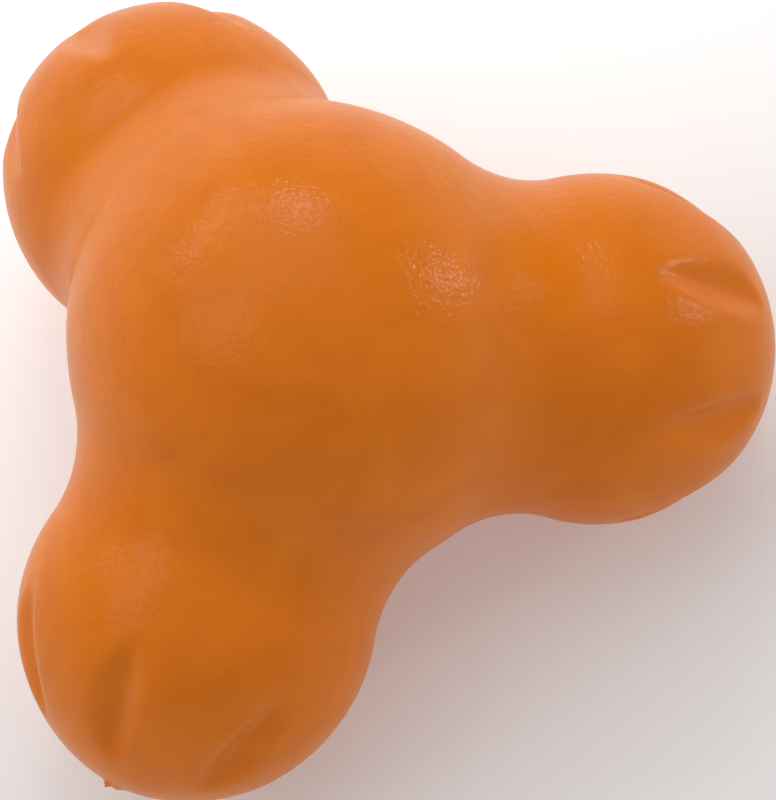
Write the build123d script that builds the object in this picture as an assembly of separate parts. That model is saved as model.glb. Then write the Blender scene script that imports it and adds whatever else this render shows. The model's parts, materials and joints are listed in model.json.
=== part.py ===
from build123d import *
from math import cos, hypot, radians, sin, sqrt, tan
import os

# A three-lobed rubber chew toy with a treat hollow, moulded in one piece. Its hub and its three lobes are
# kept as separate solids, which meet face to face at the waists of the necks.
# +Z is up. The origin is the centre of the hub's ball, where the axes of the lobes and of the mouth meet.
# The toy stands on its three lobes. Lengths are in millimetres and angles in degrees.

# Hub, lobes and necks
HUB_RADIUS = 36.0
LOBE_COUNT = 3
LOBE_RADIUS = 26.7
LOBE_TIP_LENGTH = 28.0  # from the lobe's centre to its tip, a little longer than round
LOBE_REACH = 44.0  # from the hub's centre to the lobe's centre
LOBE_DROOP = 18.9  # of the lobe's axis, below level
NECK_RADIUS = 19.8  # of the hollow curve that joins hub and lobe
FOOT_FLAT_DEPTH = 0.3  # how far the rubber is flattened where it stands

# Creases, which run along each lobe towards its tip
CREASE_COUNT = 7
CREASE_START_ANGLE = 80.0  # at the neck's end, from the tip
CREASE_END_ANGLE = 34.0  # at the tip's end, from the tip
CREASE_HALF_ANGLE = 58.0  # between the middle of the crease and either side of it

# Treat mouth under the hub, and the hollow behind it
HUB_WALL = 19.5  # between the hollow and the outside of the ball, halfway up
ROOF_WALL = 14.5  # between the end of the hollow and the top of the ball
LIP_RISE = 3.7  # from the underside to the start of the straight wall
LIP_RADIUS = 4.0
LIP_TURN = 55.0  # from the straight wall round to the open end of the lip

OVERRUN = 2.0  # how far every cut runs on past the solid

# Worked out from the sizes above. A point on a profile is (along the lobe's axis, out from it).
LOBE_SPACING = 360 / LOBE_COUNT
HUB_CENTRE = Vector(0, 0)
LOBE_CENTRE = Vector(LOBE_REACH, 0)
HUB_TO_NECK = HUB_RADIUS + NECK_RADIUS
LOBE_TO_NECK = LOBE_RADIUS + NECK_RADIUS
NECK_ALONG = (LOBE_REACH**2 + HUB_TO_NECK**2 - LOBE_TO_NECK**2) / (2 * LOBE_REACH)
NECK_OUT = sqrt(HUB_TO_NECK**2 - NECK_ALONG**2)
NECK_CENTRE = Vector(NECK_ALONG, NECK_OUT)
NECK_ROOT = HUB_CENTRE + (NECK_CENTRE - HUB_CENTRE) * (HUB_RADIUS / HUB_TO_NECK)
NECK_END = LOBE_CENTRE + (NECK_CENTRE - LOBE_CENTRE) * (LOBE_RADIUS / LOBE_TO_NECK)
WAIST = Vector(NECK_ALONG, NECK_OUT - NECK_RADIUS)
DROOP_SIN = sin(radians(LOBE_DROOP))
DROOP_COS = cos(radians(LOBE_DROOP))
LOBE_DEPTH = hypot(LOBE_TIP_LENGTH * DROOP_SIN, LOBE_RADIUS * DROOP_COS)
FLOOR_Z = FOOT_FLAT_DEPTH - LOBE_REACH * DROOP_SIN - LOBE_DEPTH
MOUTH_RADIUS = HUB_RADIUS - HUB_WALL
DOME_Z = HUB_RADIUS - ROOF_WALL - MOUTH_RADIUS
UNDERSIDE_Z = NECK_RADIUS - NECK_ALONG * DROOP_SIN - NECK_OUT * DROOP_COS
WALL_START_Z = UNDERSIDE_Z + LIP_RISE


def arc_about(centre, start, end):
    """The shorter arc around centre from start to end."""
    towards_middle = (start - centre) + (end - centre)
    middle = centre + towards_middle.normalized() * (start - centre).length
    return ThreePointArc(start, middle, end)


def on_axis(point):
    """The point of a lobe's axis that is level with a point on its profile."""
    return Vector(point.X, 0)


def lobe_turn(index):
    """Turns a solid about the mouth's axis, from over +X to over one lobe."""
    return Rot(0, 0, index * LOBE_SPACING)


def lobe_place(index):
    """Turns a solid that lies along +X to the direction of one lobe."""
    return lobe_turn(index) * Rot(0, LOBE_DROOP, 0)


def sector(index):
    """All the room around one lobe, up to the upright planes halfway to its neighbours."""
    room = LOBE_REACH + LOBE_RADIUS
    on_mouth_axis = (Align.NONE, Align.NONE, Align.CENTER)
    wedge = Cylinder(room, 2 * room, arc_size=LOBE_SPACING, align=on_mouth_axis)
    return lobe_turn(index) * Rot(0, 0, -LOBE_SPACING / 2) * wedge


def neck(index):
    """The hub's half of a neck, from its root on the ball to its waist, within its own sector."""
    profile = Polyline(WAIST, on_axis(WAIST), on_axis(NECK_ROOT), NECK_ROOT)
    profile += arc_about(NECK_CENTRE, NECK_ROOT, WAIST)
    return lobe_place(index) * revolve(make_face(profile), Axis.X) & sector(index)


def treat_hollow():
    """The space of the flared mouth, the straight wall and the domed end, with its axis on Z."""
    lip_centre = Vector(MOUTH_RADIUS + LIP_RADIUS, WALL_START_Z)
    wall_start = Vector(MOUTH_RADIUS, WALL_START_Z)
    wall_end = Vector(MOUTH_RADIUS, DOME_Z)
    dome_top = Vector(0, DOME_Z + MOUTH_RADIUS)
    lip_end = lip_centre - Vector(LIP_RADIUS, 0).rotate(Axis.Z, LIP_TURN)
    flare_drop = lip_end.Y - min(FLOOR_Z, -HUB_RADIUS) + OVERRUN
    flare_end = lip_end + Vector(flare_drop * tan(radians(LIP_TURN)), -flare_drop)
    profile = arc_about(Vector(0, DOME_Z), dome_top, wall_end)
    profile += Polyline(wall_end, wall_start)
    profile += arc_about(lip_centre, wall_start, lip_end)
    profile += Polyline(lip_end, flare_end, Vector(0, flare_end.Y), dome_top)
    return revolve(Rot(90, 0, 0) * make_face(profile), Axis.Z)


def hub():
    """The ball with its three necks, opened by the treat mouth and its hollow."""
    body = Sphere(HUB_RADIUS)
    root_cut = Location((NECK_ROOT.X, 0, 0), (0, 90, 0))
    for index in range(LOBE_COUNT):
        body = split(body, Plane(lobe_place(index) * root_cut), keep=Keep.BOTTOM)
    for index in range(LOBE_COUNT):
        body += neck(index)
    return body - treat_hollow()


def lobe_point(angle):
    """A point on the upper curve of a lobe that lies along +X, by its angle from the tip."""
    along = LOBE_REACH + LOBE_TIP_LENGTH * cos(radians(angle))
    return Vector(along, 0, LOBE_RADIUS * sin(radians(angle)))


def crease():
    """The notch of the crease on the upper side of a lobe that lies along +X."""
    start = lobe_point(CREASE_START_ANGLE)
    end = lobe_point(CREASE_END_ANGLE)
    middle = (start + end) / 2
    depth = (lobe_point((CREASE_START_ANGLE + CREASE_END_ANGLE) / 2) - middle).length
    height = depth + OVERRUN
    half_width = height * tan(radians(CREASE_HALF_ANGLE))
    section = Plane(origin=middle, x_dir=(0, 1, 0), z_dir=end - start)
    notch = make_face(Polyline((0, 0), (half_width, height), (-half_width, height), (0, 0)))
    return extrude(section * notch, (end - start).length / 2 + OVERRUN, both=True)


def lobe(index):
    """A creased lobe with its half of the neck, flattened where it stands."""
    profile = Polyline(LOBE_CENTRE + Vector(LOBE_TIP_LENGTH, 0), on_axis(WAIST), WAIST)
    profile += arc_about(NECK_CENTRE, WAIST, NECK_END)
    profile += arc_about(LOBE_CENTRE, NECK_END, LOBE_CENTRE + Vector(0, LOBE_RADIUS))
    profile += EllipticalCenterArc(LOBE_CENTRE, LOBE_TIP_LENGTH, LOBE_RADIUS)
    body = revolve(make_face(profile), Axis.X)
    for number in range(CREASE_COUNT):
        body -= Rot(number * 360 / CREASE_COUNT, 0, 0) * crease()
    floor = Plane(origin=(0, 0, FLOOR_Z))
    return split(lobe_place(index) * body, floor, keep=Keep.TOP)


def main():
    os.makedirs("parts", exist_ok=True)
    export_step(hub(), "parts/hub.step")
    for index in range(LOBE_COUNT):
        export_step(lobe(index), f"parts/lobe_{chr(ord('a') + index)}.step")
    print(f"floor at {FLOOR_Z:.2f}, underside at {UNDERSIDE_Z:.2f}, waist radius {WAIST.Y:.2f}")
    print(f"straight wall from {WALL_START_Z:.2f} to {DOME_Z:.2f}")


main()
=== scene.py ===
import json
from math import atan2, cos, pi, radians, sin, sqrt, tan

import bmesh
import bpy
import numpy as np
from mathutils import Matrix, Vector


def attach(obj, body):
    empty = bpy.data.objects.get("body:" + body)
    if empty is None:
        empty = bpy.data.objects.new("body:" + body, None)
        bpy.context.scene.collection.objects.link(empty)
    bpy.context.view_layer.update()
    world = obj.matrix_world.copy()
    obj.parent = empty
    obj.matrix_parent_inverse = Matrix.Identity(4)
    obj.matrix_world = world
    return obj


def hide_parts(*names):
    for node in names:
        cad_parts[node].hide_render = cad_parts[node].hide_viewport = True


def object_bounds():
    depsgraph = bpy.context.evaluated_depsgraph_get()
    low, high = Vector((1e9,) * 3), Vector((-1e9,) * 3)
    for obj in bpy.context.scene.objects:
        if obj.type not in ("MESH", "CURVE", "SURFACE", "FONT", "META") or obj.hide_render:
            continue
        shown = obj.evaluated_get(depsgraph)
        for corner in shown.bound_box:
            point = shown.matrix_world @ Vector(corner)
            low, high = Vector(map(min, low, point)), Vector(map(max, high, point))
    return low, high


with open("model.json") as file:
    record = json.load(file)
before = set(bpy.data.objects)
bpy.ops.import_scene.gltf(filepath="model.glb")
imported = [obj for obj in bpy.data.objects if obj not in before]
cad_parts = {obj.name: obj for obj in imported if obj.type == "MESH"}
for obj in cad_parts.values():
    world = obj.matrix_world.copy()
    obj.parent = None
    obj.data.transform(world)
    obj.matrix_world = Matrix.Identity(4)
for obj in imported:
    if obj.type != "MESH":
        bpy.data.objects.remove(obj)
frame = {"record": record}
cad_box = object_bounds()

# The looks of a three-lobed rubber chew toy: one seamless moulded skin round the four solids,
# its rubber, and a plain studio. Lengths are in metres and angles in radians.
# A point on the profile of a lobe is (along the lobe's axis, out from it).

# Hub, lobes and necks
HUB_RADIUS = 0.0360
LOBE_COUNT = 3
LOBE_RADIUS = 0.0267
LOBE_TIP_LENGTH = 0.0280
LOBE_REACH = 0.0440
LOBE_DROOP = radians(18.9)
NECK_RADIUS = 0.0198
HUB_TO_NECK = HUB_RADIUS + NECK_RADIUS
LOBE_TO_NECK = LOBE_RADIUS + NECK_RADIUS
NECK_ALONG = (LOBE_REACH**2 + HUB_TO_NECK**2 - LOBE_TO_NECK**2) / (2 * LOBE_REACH)
NECK_OUT = sqrt(HUB_TO_NECK**2 - NECK_ALONG**2)
FLOOR_Z = cad_box[0].z

# Fullness of the upper side of each neck, at a distance from the lobe's tip along the profile
FILL_PLACE = 0.061
FILL_LENGTH = 0.009
FILL_HEIGHTS = (0.0006, 0.0023, 0.0006)
FILL_TAPER = 3

# Creases along each lobe. The turns are of each lobe's set of creases round its axis.
CREASE_COUNT = 7
CREASE_TURNS = (radians(3.0), 0, radians(1.0))
CREASE_START = radians(86)
CREASE_END = radians(38)
CREASE_DEPTH = 0.0021
CREASE_RISE = 1.15
CREASE_FALL = 0.9
CREASE_HALF_ANGLE = radians(60)
CREASE_SHOULDER = 0.0007
CREASE_BOTTOM = 0.0006

# Moulding mark at the tip of one lobe.
# Each tooth has an angle from the tip, an angle round the axis, a height and a width.
GATE_LOBE = 2
GATE_TEETH = (
    (radians(11.6), radians(-18), 0.0009, 0.0005),
    (radians(10.2), radians(-4), 0.0005, 0.0011),
)

# Treat mouth and the hollow behind it
MOUTH_RADIUS = frame["record"]["mounts"][0]["dims"]["r_mm"] / 1000
RIM_RADIUS = 0.0205
LIP_TOP_Z = -0.0285
LIP_FULLNESS = 1.3
DOME_Z = 0.0050

# Fine unevenness of the moulding. The spread is of the waves' lengths, as shares of the one given.
UNEVEN_DEPTH = 0.00010
UNEVEN_WAVES = 9
UNEVEN_LENGTH = 0.028
UNEVEN_SPREAD = (0.6, 1.6)
UNEVEN_SEED = 5

# Faint ring on the dome, where the rubber sank a little as it cooled
SINK_PLACE = (0.0005, -0.0273, 0.0235)
SINK_RADIUS = 0.0072
SINK_WIDTH = 0.0018
SINK_DEPTH = 0.00014

# Spacing of the mesh
PROFILE_STEPS = 3000
COLUMNS_PER_FLANK = 14
COLUMN_CLOSENESS = 0.35
LOBE_RINGS = 72
RING_CLOSENESS = 0.6
TIP_CAP = 0.0006
NECK_RINGS = 66
LIP_RINGS = 12
WALL_RINGS = 14
DOME_RINGS = 12
WELD_DISTANCE = 2e-6
SEAM_DISTANCE = 2e-5

# Colour of the rubber. Noise mostly lies between the low and high values.
PALE_ORANGE = (0.80, 0.200, 0.006)
DEEP_ORANGE = (0.73, 0.171, 0.003)
NOISE_LOW = 0.3
NOISE_HIGH = 0.7
MOTTLE_SIZE = 0.016
MOTTLE_DETAIL = 3
MOTTLE_SWIRL = 1.5

# Body of the rubber, which light enters a little, and the faint bloom on it
RUBBER_ROUGHNESS = 0.6
SCATTER_WEIGHT = 0.15
SCATTER_REACHES = (1.0, 0.35, 0.1)
SCATTER_DEPTH = 0.003
BLOOM_WEIGHT = 0.08
BLOOM_ROUGHNESS = 0.35
BLOOM_TINT = (0.5, 1, 1)

# Gloss on the rubber, which is duller within a short reach of one place
GLOSS_WEIGHT = 0.42
GLOSS_ROUGHNESS = 0.065
GLOSS_INDEX = 1.5
DULL_PLACE = (0.0345, 0.001, 0.017)
DULL_REACH = (0.005, 0.010)
DULL_INDEX = 1.27

# Ripples and grain, which is deeper in the gloss than in the rubber under it
RIPPLE_SIZE = 0.005
RIPPLE_DETAIL = 1
RIPPLE_DEPTH = 0.00008
GRAIN_SIZE = 0.0008
GRAIN_DETAIL = 2
RUBBER_GRAIN_DEPTH = 0.000018
GLOSS_GRAIN_DEPTH = 0.00016

# Floor, which glows more along one way, and a room with bands of light by height
WHITE = (1, 1, 1, 1)
FLOOR_RADIUS = 2.5
FLOOR_SIDES = 96
FLOOR_COLOUR = (0.78, 0.78, 0.78)
FLOOR_ROUGHNESS = 0.9
FLOOR_GLOW = (0.14, 0.48)
FLOOR_GLOW_WAY = (-0.4, 1, 0)
FLOOR_GLOW_REACH = (-0.06, 0.12)
FLOOR_GAP = 0.00005
ROOM_HEIGHTS = (0.1, 0.4, 0.75, 0.95)
ROOM_LIGHTS = (0.6, 0.45, 0.45, 0.48)
BACKDROP_LIGHT = 0.45
BACKDROP_TOP = radians(35)
BACKDROP_WRAP = 0.5

# Soft lights: name, azimuth, elevation, width, height and power
LIGHT_DISTANCE = 1.0
SOFTBOXES = (
    ("back", radians(86), radians(45), 0.28, 0.12, 0.97),
    ("strip", radians(132), radians(36), 0.7, 0.09, 1.15),
    ("top", radians(92), radians(64), 0.9, 0.9, 1.95),
    ("side", radians(14), radians(19), 0.1, 0.4, 1.0),
    ("left", radians(182), radians(55), 0.5, 0.5, 0.95),
)

# Camera
CAMERA_ELEVATION = radians(68.81)
CAMERA_AZIMUTH = radians(13.88)
CAMERA_ROLL = radians(-18.88)
CAMERA_DISTANCE = 0.56805
AIM_RIGHT = 0.01197
AIM_UP = -0.00840
LENS_MM = 171.34
SENSOR_MM = 36.0


def arc(centre, along_radius, out_radius, start, end):
    """Closely spaced points on part of an ellipse."""
    angles = np.linspace(start, end, PROFILE_STEPS)
    along = centre[0] + along_radius * np.cos(angles)
    out = centre[1] + out_radius * np.sin(angles)
    return np.stack([along, out], axis=1)


class Profile:
    """The curve from a lobe's tip over its neck to the far side of the hub."""

    def __init__(self):
        lobe_centre = (LOBE_REACH, 0)
        neck_centre = (NECK_ALONG, NECK_OUT)
        neck_from_lobe = atan2(NECK_OUT, NECK_ALONG - LOBE_REACH)
        neck_from_hub = atan2(NECK_OUT, NECK_ALONG)
        runs = [
            arc(lobe_centre, LOBE_TIP_LENGTH, LOBE_RADIUS, 0, pi / 2),
            arc(lobe_centre, LOBE_RADIUS, LOBE_RADIUS, pi / 2, neck_from_lobe),
            arc(neck_centre, NECK_RADIUS, NECK_RADIUS, neck_from_lobe - pi, neck_from_hub - pi),
            arc((0, 0), HUB_RADIUS, HUB_RADIUS, neck_from_hub, pi),
        ]
        self.points = np.concatenate([runs[0]] + [run[1:] for run in runs[1:]])
        steps = np.linalg.norm(np.diff(self.points, axis=0), axis=1)
        self.distance = np.concatenate([[0], np.cumsum(steps)])
        self.lobe_end = self.distance[PROFILE_STEPS - 1]
        heading = np.gradient(self.points, self.distance, axis=0)
        self.outward = np.stack([heading[:, 1], -heading[:, 0]], axis=1)

    def at(self, distance):
        """Places and outward directions, as (along, out), at distances from the tip along the curve."""
        place = [np.interp(distance, self.distance, self.points[:, part]) for part in range(2)]
        outward = [np.interp(distance, self.distance, self.outward[:, part]) for part in range(2)]
        return np.stack(place, axis=-1), np.stack(outward, axis=-1)


def spread(profile_parts, angle):
    """Turns (along, out) at angles round the axis of the lobe over +X into space. Angle 0 is upward."""
    along = profile_parts[..., 0]
    up = profile_parts[..., 1] * np.cos(angle)
    beside = profile_parts[..., 1] * np.sin(angle)
    x = along * cos(LOBE_DROOP) + up * sin(LOBE_DROOP)
    z = up * cos(LOBE_DROOP) - along * sin(LOBE_DROOP)
    return np.stack([x, beside, z], axis=-1)


def corner_angle():
    """Angle round a lobe's axis at which the mouth's rim meets the plane between two lobes."""
    half_sector = pi / LOBE_COUNT
    x = RIM_RADIUS * cos(half_sector)
    y = RIM_RADIUS * sin(half_sector)
    z = -sqrt(HUB_RADIUS**2 - RIM_RADIUS**2)
    return atan2(y, x * sin(LOBE_DROOP) + z * cos(LOBE_DROOP))


def column_angles():
    """Angles round a lobe's axis, from 0 to half a turn, closest together at the creases."""
    half_pitch = pi / CREASE_COUNT
    share = np.arange(COLUMNS_PER_FLANK + 1) / COLUMNS_PER_FLANK
    offsets = half_pitch * (COLUMN_CLOSENESS * share + (1 - COLUMN_CLOSENESS) * share**2)
    angles = [offsets]
    for flank in range(1, CREASE_COUNT):
        start = flank * half_pitch
        if flank % 2:
            angles.append(start + half_pitch - offsets[-2::-1])
        else:
            angles.append(start + offsets[1:])
    angles = np.concatenate(angles)
    corner = corner_angle()
    angles[np.argmin(np.abs(angles - corner))] = corner
    return angles


def column_end(profile, angle):
    """Distance from the tip at which a column meets the plane between two lobes or the mouth's rim."""
    half_sector = pi / LOBE_COUNT
    points = spread(profile.points, angle)
    to_plane = points[:, 0] * sin(half_sector) - np.abs(points[:, 1]) * cos(half_sector)
    to_rim = np.hypot(points[:, 0], points[:, 1]) - RIM_RADIUS
    room = np.where(points[:, 2] < 0, np.minimum(to_plane, to_rim), to_plane)
    past = np.argmax((room < 0) & (profile.distance > profile.lobe_end))
    before = past - 1
    share = room[before] / (room[before] - room[past])
    return profile.distance[before] + share * (profile.distance[past] - profile.distance[before])


def soft_step(value):
    """Nothing below zero and value above, with a round turn between."""
    turning = (value + CREASE_SHOULDER) ** 2 / (4 * CREASE_SHOULDER)
    return np.where(np.abs(value) < CREASE_SHOULDER, turning, np.maximum(value, 0))


def crease_depth(places, angle):
    """How deep each point of a lobe lies in its nearest crease."""
    from_tip = np.arctan2(places[..., 1] / LOBE_RADIUS, (places[..., 0] - LOBE_REACH) / LOBE_TIP_LENGTH)
    share = np.clip((CREASE_START - from_tip) / (CREASE_START - CREASE_END), 0, 1)
    deepest = CREASE_RISE / (CREASE_RISE + CREASE_FALL)
    most = deepest**CREASE_RISE * (1 - deepest) ** CREASE_FALL
    bottom = CREASE_DEPTH * share**CREASE_RISE * (1 - share) ** CREASE_FALL / most
    pitch = 2 * pi / CREASE_COUNT
    beside = places[..., 1] * np.sin(angle - np.round(angle / pitch) * pitch)
    side = (np.sqrt(beside**2 + CREASE_BOTTOM**2) - CREASE_BOTTOM) / tan(CREASE_HALF_ANGLE)
    return soft_step(bottom - side) - soft_step(-side)


def neck_fill(distance, angle, height):
    """How far the upper side of a neck is filled out, with its greatest height on top."""
    along = np.exp(-(((distance - FILL_PLACE) / FILL_LENGTH) ** 2))
    return height * along * np.maximum(np.cos(angle), 0) ** FILL_TAPER


def gate_height(points):
    """How far the moulding mark stands out at each point of the lobe over +X."""
    total = np.zeros(points.shape[:-1])
    for from_tip, round_axis, height, width in GATE_TEETH:
        along = LOBE_REACH + LOBE_TIP_LENGTH * cos(from_tip)
        centre = spread(np.array([along, LOBE_RADIUS * sin(from_tip)]), round_axis)
        away = np.linalg.norm(points - centre, axis=-1)
        total += height * np.exp(-((away / width) ** 2))
    return total


def unevenness(points):
    """How far each point stands out from the ideal surface."""
    draw = np.random.default_rng(UNEVEN_SEED)
    total = np.zeros(points.shape[:-1])
    for _ in range(UNEVEN_WAVES):
        direction = draw.normal(size=3)
        direction /= np.linalg.norm(direction)
        wavelength = UNEVEN_LENGTH * draw.uniform(*UNEVEN_SPREAD)
        phase = draw.uniform(0, 2 * pi)
        total += np.sin(points @ direction * (2 * pi / wavelength) + phase)
    return total * UNEVEN_DEPTH / sqrt(UNEVEN_WAVES / 2)


def sink_depth(points):
    """How deep each point lies in the ring on the dome."""
    away = np.linalg.norm(points - np.array(SINK_PLACE), axis=-1)
    return SINK_DEPTH * np.exp(-(((away - SINK_RADIUS) / SINK_WIDTH) ** 2))


def outer_grid(profile, angles, ends, index):
    """Points of the skin over one lobe and their outward directions.

    They lie in rings from the tip and in columns round the axis. The columns turn with the creases
    on the lobe, and back again on the neck.
    """
    share = np.linspace(0, 1, LOBE_RINGS - 1)
    spacing = RING_CLOSENESS * share + (1 - RING_CLOSENESS) * share**2
    lobe_distance = np.concatenate([[0], TIP_CAP + (profile.lobe_end - TIP_CAP) * spacing])
    share = np.linspace(0, 1, NECK_RINGS + 1)[1:]
    lobe_part = np.repeat(lobe_distance[:, None], len(angles), axis=1)
    neck_part = profile.lobe_end + share[:, None] * (ends[None, :] - profile.lobe_end)
    turned = np.concatenate([np.ones(LOBE_RINGS), (1 - share) ** 2 * (1 + 2 * share)])
    distance = np.concatenate([lobe_part, neck_part])
    places, outward = profile.at(distance)
    angle = angles[None, :] + CREASE_TURNS[index] * turned[:, None]
    height = neck_fill(distance, angle, FILL_HEIGHTS[index]) - crease_depth(places, angles[None, :])
    directions = spread(outward, angle)
    points = spread(places, angle) + directions * height[..., None]
    return points, directions


def inner_grid(rim, directions):
    """Points of the lip, the straight wall and the domed end, as rings from the rim."""
    azimuth = np.arctan2(rim[:, 1], rim[:, 0])
    lean_out = directions[:, 0] * np.cos(azimuth) + directions[:, 1] * np.sin(azimuth)
    lean_up = directions[:, 2]
    size = np.hypot(lean_out, lean_up)
    pull = LIP_FULLNESS * np.hypot(RIM_RADIUS - MOUTH_RADIUS, LIP_TOP_Z - rim[:, 2])
    share = np.linspace(0, 1, LIP_RINGS)[:, None]
    keep_start = 2 * share**3 - 3 * share**2 + 1
    leave = share**3 - 2 * share**2 + share
    keep_end = 3 * share**2 - 2 * share**3
    arrive = share**3 - share**2
    lip_radius = keep_start * RIM_RADIUS + leave * pull * lean_up / size + keep_end * MOUTH_RADIUS
    lip_z = keep_start * rim[:, 2] - leave * pull * lean_out / size + keep_end * LIP_TOP_Z + arrive * pull
    wall_z = np.linspace(LIP_TOP_Z, DOME_Z, WALL_RINGS)[1:]
    turn = np.linspace(0, pi / 2, DOME_RINGS)[1:]
    deep_radius = np.concatenate([np.full(len(wall_z), MOUTH_RADIUS), MOUTH_RADIUS * np.cos(turn)])
    deep_z = np.concatenate([wall_z, DOME_Z + MOUTH_RADIUS * np.sin(turn)])
    every_column = np.ones(len(azimuth))
    radius = np.concatenate([lip_radius, deep_radius[:, None] * every_column])
    z = np.concatenate([lip_z, deep_z[:, None] * every_column])
    return np.stack([radius * np.cos(azimuth), radius * np.sin(azimuth), z], axis=-1)


def grid_faces(rows, columns, closed, first):
    """Corner numbers of the four-sided faces of a grid whose points are numbered from first."""
    number = first + np.arange(rows * columns).reshape(rows, columns)
    if closed:
        number = np.concatenate([number, number[:, :1]], axis=1)
    corners = [number[:-1, :-1], number[1:, :-1], number[1:, 1:], number[:-1, 1:]]
    return np.stack(corners, axis=-1).reshape(-1, 4)


def weld(mesh):
    """Joins grids that meet into one closed skin whose faces look outward."""
    edit = bmesh.new()
    edit.from_mesh(mesh)
    bmesh.ops.remove_doubles(edit, verts=edit.verts, dist=WELD_DISTANCE)
    seam = [vert for vert in edit.verts if vert.is_boundary]
    bmesh.ops.remove_doubles(edit, verts=seam, dist=SEAM_DISTANCE)
    bmesh.ops.recalc_face_normals(edit, faces=edit.faces)
    edit.to_mesh(mesh)
    edit.free()


def skin_mesh():
    """One closed mesh of the three lobes, each with its neck, its share of the hub and of the mouth."""
    profile = Profile()
    half = column_angles()
    half_ends = np.array([column_end(profile, angle) for angle in half])
    angles = np.concatenate([half, -half[-2:0:-1]])
    ends = np.concatenate([half_ends, half_ends[-2:0:-1]])
    at_mouth = np.flatnonzero(np.abs(angles) >= corner_angle())
    points = []
    faces = []
    total = 0
    for index in range(LOBE_COUNT):
        lobe_turn = np.array(Matrix.Rotation(index * 2 * pi / LOBE_COUNT, 3, "Z")).T
        outer, outward = outer_grid(profile, angles, ends, index)
        if index == GATE_LOBE:
            outer += outward * gate_height(outer)[..., None]
        inner = inner_grid(outer[-1, at_mouth], outward[-1, at_mouth]) @ lobe_turn
        outer = outer @ lobe_turn
        outer += outward @ lobe_turn * (unevenness(outer) - sink_depth(outer))[..., None]
        outer[..., 2] = np.maximum(outer[..., 2], FLOOR_Z)
        inner[0] = outer[-1, at_mouth]
        for grid, closed in ((outer, True), (inner, False)):
            rows, columns = grid.shape[:2]
            points.append(grid.reshape(-1, 3))
            faces.append(grid_faces(rows, columns, closed, total))
            total += rows * columns
    mesh = bpy.data.meshes.new("moulding")
    mesh.from_pydata(np.concatenate(points).tolist(), [], np.concatenate(faces).tolist())
    weld(mesh)
    mesh.shade_smooth()
    return mesh


def fade(tree, value, reach, results=(0, 1)):
    """Goes softly from the first result to the second while the value crosses its reach."""
    node = tree.nodes.new("ShaderNodeMapRange")
    node.interpolation_type = "SMOOTHSTEP"
    node.inputs["From Min"].default_value = reach[0]
    node.inputs["From Max"].default_value = reach[1]
    node.inputs["To Min"].default_value = results[0]
    node.inputs["To Max"].default_value = results[1]
    tree.links.new(value, node.inputs["Value"])
    return node.outputs["Result"]


def rubber():
    """Satin orange rubber, a little uneven in colour, with a fine grain that glints."""
    material = bpy.data.materials.new("orange_rubber")
    material.use_nodes = True
    tree = material.node_tree
    nodes = tree.nodes
    links = tree.links
    shader = nodes["Principled BSDF"]
    place = nodes.new("ShaderNodeTexCoord").outputs["Object"]

    def noise(size, detail, swirl=0):
        """Noise with patches of about one size in metres, drawn out into strands by swirl."""
        node = nodes.new("ShaderNodeTexNoise")
        node.inputs["Scale"].default_value = 1 / size
        node.inputs["Detail"].default_value = detail
        node.inputs["Distortion"].default_value = swirl
        links.new(place, node.inputs["Vector"])
        return node.outputs["Fac"]

    def bump(value, depth, below=None):
        """A normal that is raised by noise, over another bump where one is given."""
        node = nodes.new("ShaderNodeBump")
        node.inputs["Strength"].default_value = 1
        node.inputs["Distance"].default_value = depth
        links.new(value, node.inputs["Height"])
        if below:
            links.new(below, node.inputs["Normal"])
        return node.outputs["Normal"]

    tint = nodes.new("ShaderNodeValToRGB")
    tint.color_ramp.elements[0].position = NOISE_LOW
    tint.color_ramp.elements[0].color = (*PALE_ORANGE, 1)
    tint.color_ramp.elements[1].position = NOISE_HIGH
    tint.color_ramp.elements[1].color = (*DEEP_ORANGE, 1)
    links.new(noise(MOTTLE_SIZE, MOTTLE_DETAIL, MOTTLE_SWIRL), tint.inputs["Fac"])
    links.new(tint.outputs["Color"], shader.inputs["Base Color"])
    ripple = bump(noise(RIPPLE_SIZE, RIPPLE_DETAIL), RIPPLE_DEPTH)
    grain = noise(GRAIN_SIZE, GRAIN_DETAIL)
    links.new(bump(grain, RUBBER_GRAIN_DEPTH, ripple), shader.inputs["Normal"])
    links.new(bump(grain, GLOSS_GRAIN_DEPTH, ripple), shader.inputs["Coat Normal"])
    away = nodes.new("ShaderNodeVectorMath")
    away.operation = "DISTANCE"
    away.inputs[1].default_value = DULL_PLACE
    links.new(place, away.inputs[0])
    index = fade(tree, away.outputs["Value"], DULL_REACH, (DULL_INDEX, GLOSS_INDEX))
    links.new(index, shader.inputs["Coat IOR"])
    shader.inputs["Coat Weight"].default_value = GLOSS_WEIGHT
    shader.inputs["Coat Roughness"].default_value = GLOSS_ROUGHNESS
    shader.inputs["Roughness"].default_value = RUBBER_ROUGHNESS
    shader.inputs["Specular IOR Level"].default_value = 0
    shader.inputs["Sheen Weight"].default_value = BLOOM_WEIGHT
    shader.inputs["Sheen Roughness"].default_value = BLOOM_ROUGHNESS
    shader.inputs["Sheen Tint"].default_value = (*BLOOM_TINT, 1)
    shader.inputs["Subsurface Weight"].default_value = SCATTER_WEIGHT
    shader.inputs["Subsurface Radius"].default_value = SCATTER_REACHES
    shader.inputs["Subsurface Scale"].default_value = SCATTER_DEPTH
    return material


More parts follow.
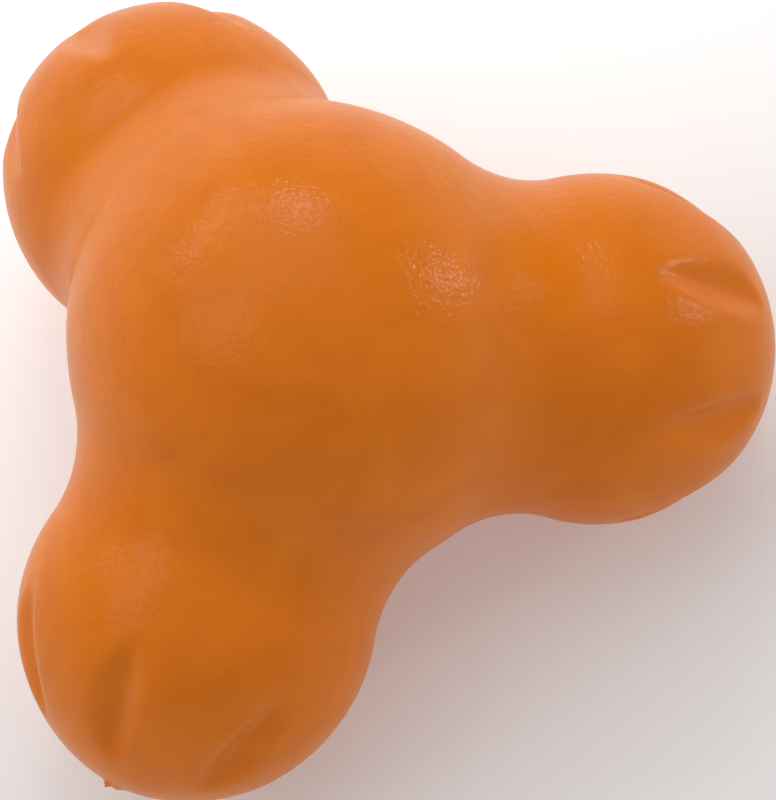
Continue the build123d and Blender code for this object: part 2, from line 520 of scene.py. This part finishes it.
def add_floor():
    """A pale floor that glows a little, as a light table does, and more behind and left of the toy."""
    place = (0, 0, FLOOR_Z - FLOOR_GAP)
    bpy.ops.mesh.primitive_circle_add(
        vertices=FLOOR_SIDES, radius=FLOOR_RADIUS, fill_type="NGON", location=place
    )
    floor = bpy.context.object
    floor.name = "floor"
    paint = bpy.data.materials.new("floor_paint")
    paint.use_nodes = True
    tree = paint.node_tree
    nodes = tree.nodes
    links = tree.links
    shader = nodes["Principled BSDF"]
    way = nodes.new("ShaderNodeVectorMath")
    way.operation = "DOT_PRODUCT"
    way.inputs[1].default_value = FLOOR_GLOW_WAY
    links.new(nodes.new("ShaderNodeTexCoord").outputs["Object"], way.inputs[0])
    glow = fade(tree, way.outputs["Value"], FLOOR_GLOW_REACH, FLOOR_GLOW)
    links.new(glow, shader.inputs["Emission Strength"])
    shader.inputs["Emission Color"].default_value = WHITE
    shader.inputs["Base Color"].default_value = (*FLOOR_COLOUR, 1)
    shader.inputs["Roughness"].default_value = FLOOR_ROUGHNESS
    floor.data.materials.append(paint)


def add_room():
    """White surroundings that are brightest low down behind the toy."""
    world = bpy.data.worlds.new("room")
    world.use_nodes = True
    tree = world.node_tree
    nodes = tree.nodes
    links = tree.links
    way = nodes.new("ShaderNodeSeparateXYZ")
    links.new(nodes.new("ShaderNodeTexCoord").outputs["Generated"], way.inputs["Vector"])
    low_behind = nodes.new("ShaderNodeMath")
    low_behind.operation = "MULTIPLY"
    links.new(fade(tree, way.outputs["Z"], (sin(BACKDROP_TOP), 0)), low_behind.inputs[0])
    links.new(fade(tree, way.outputs["Y"], (-BACKDROP_WRAP, BACKDROP_WRAP)), low_behind.inputs[1])
    backdrop = nodes.new("ShaderNodeMapRange")
    backdrop.inputs["To Max"].default_value = BACKDROP_LIGHT
    links.new(low_behind.outputs["Value"], backdrop.inputs["Value"])
    behind = nodes.new("ShaderNodeBackground")
    behind.inputs["Color"].default_value = WHITE
    links.new(backdrop.outputs["Result"], behind.inputs["Strength"])
    around = nodes["Background"]
    bands = nodes.new("ShaderNodeValToRGB")
    stops = bands.color_ramp.elements
    while len(stops) < len(ROOM_HEIGHTS):
        stops.new(1)
    for stop, height, light in zip(stops, ROOM_HEIGHTS, ROOM_LIGHTS):
        stop.position = height
        stop.color = (light, light, light, 1)
    links.new(way.outputs["Z"], bands.inputs["Fac"])
    links.new(bands.outputs["Color"], around.inputs["Color"])
    both = nodes.new("ShaderNodeAddShader")
    links.new(around.outputs["Background"], both.inputs[0])
    links.new(behind.outputs["Background"], both.inputs[1])
    links.new(both.outputs["Shader"], nodes["World Output"].inputs["Surface"])
    bpy.context.scene.world = world


def add_softbox(name, azimuth, elevation, width, height, power):
    """A soft light that faces the toy from LIGHT_DISTANCE. Azimuth is from +X towards +Y."""
    light = bpy.data.lights.new(name, "AREA")
    light.shape = "RECTANGLE"
    light.size = width
    light.size_y = height
    light.energy = power
    lamp = bpy.data.objects.new(name, light)
    towards = Vector((cos(azimuth) * cos(elevation), sin(azimuth) * cos(elevation), sin(elevation)))
    lamp.location = towards * LIGHT_DISTANCE
    lamp.rotation_euler = towards.to_track_quat("Z", "Y").to_euler()
    bpy.context.scene.collection.objects.link(lamp)


def add_camera():
    """The camera of the photograph, which looks down on the toy a little askew."""
    level = cos(CAMERA_ELEVATION)
    back = Vector((sin(CAMERA_AZIMUTH) * level, -cos(CAMERA_AZIMUTH) * level, sin(CAMERA_ELEVATION)))
    level_right = Vector((0, 0, 1)).cross(back).normalized()
    level_up = back.cross(level_right)
    right = cos(CAMERA_ROLL) * level_right + sin(CAMERA_ROLL) * level_up
    up = cos(CAMERA_ROLL) * level_up - sin(CAMERA_ROLL) * level_right
    lens = bpy.data.cameras.new("camera")
    lens.lens = LENS_MM
    lens.sensor_width = SENSOR_MM
    camera = bpy.data.objects.new("camera", lens)
    turn = Matrix((right, up, back)).transposed().to_4x4()
    place = right * AIM_RIGHT + up * AIM_UP + back * CAMERA_DISTANCE
    camera.matrix_world = Matrix.Translation(place) @ turn
    bpy.context.scene.collection.objects.link(camera)
    bpy.context.scene.camera = camera


def main():
    moulding = bpy.data.objects.new("moulding", skin_mesh())
    bpy.context.scene.collection.objects.link(moulding)
    moulding.data.materials.append(rubber())
    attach(moulding, "root")
    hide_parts("hub", "lobe_a", "lobe_b", "lobe_c")
    add_floor()
    add_room()
    for softbox in SOFTBOXES:
        add_softbox(*softbox)
    add_camera()
    bpy.context.scene.view_settings.view_transform = "Standard"


main()
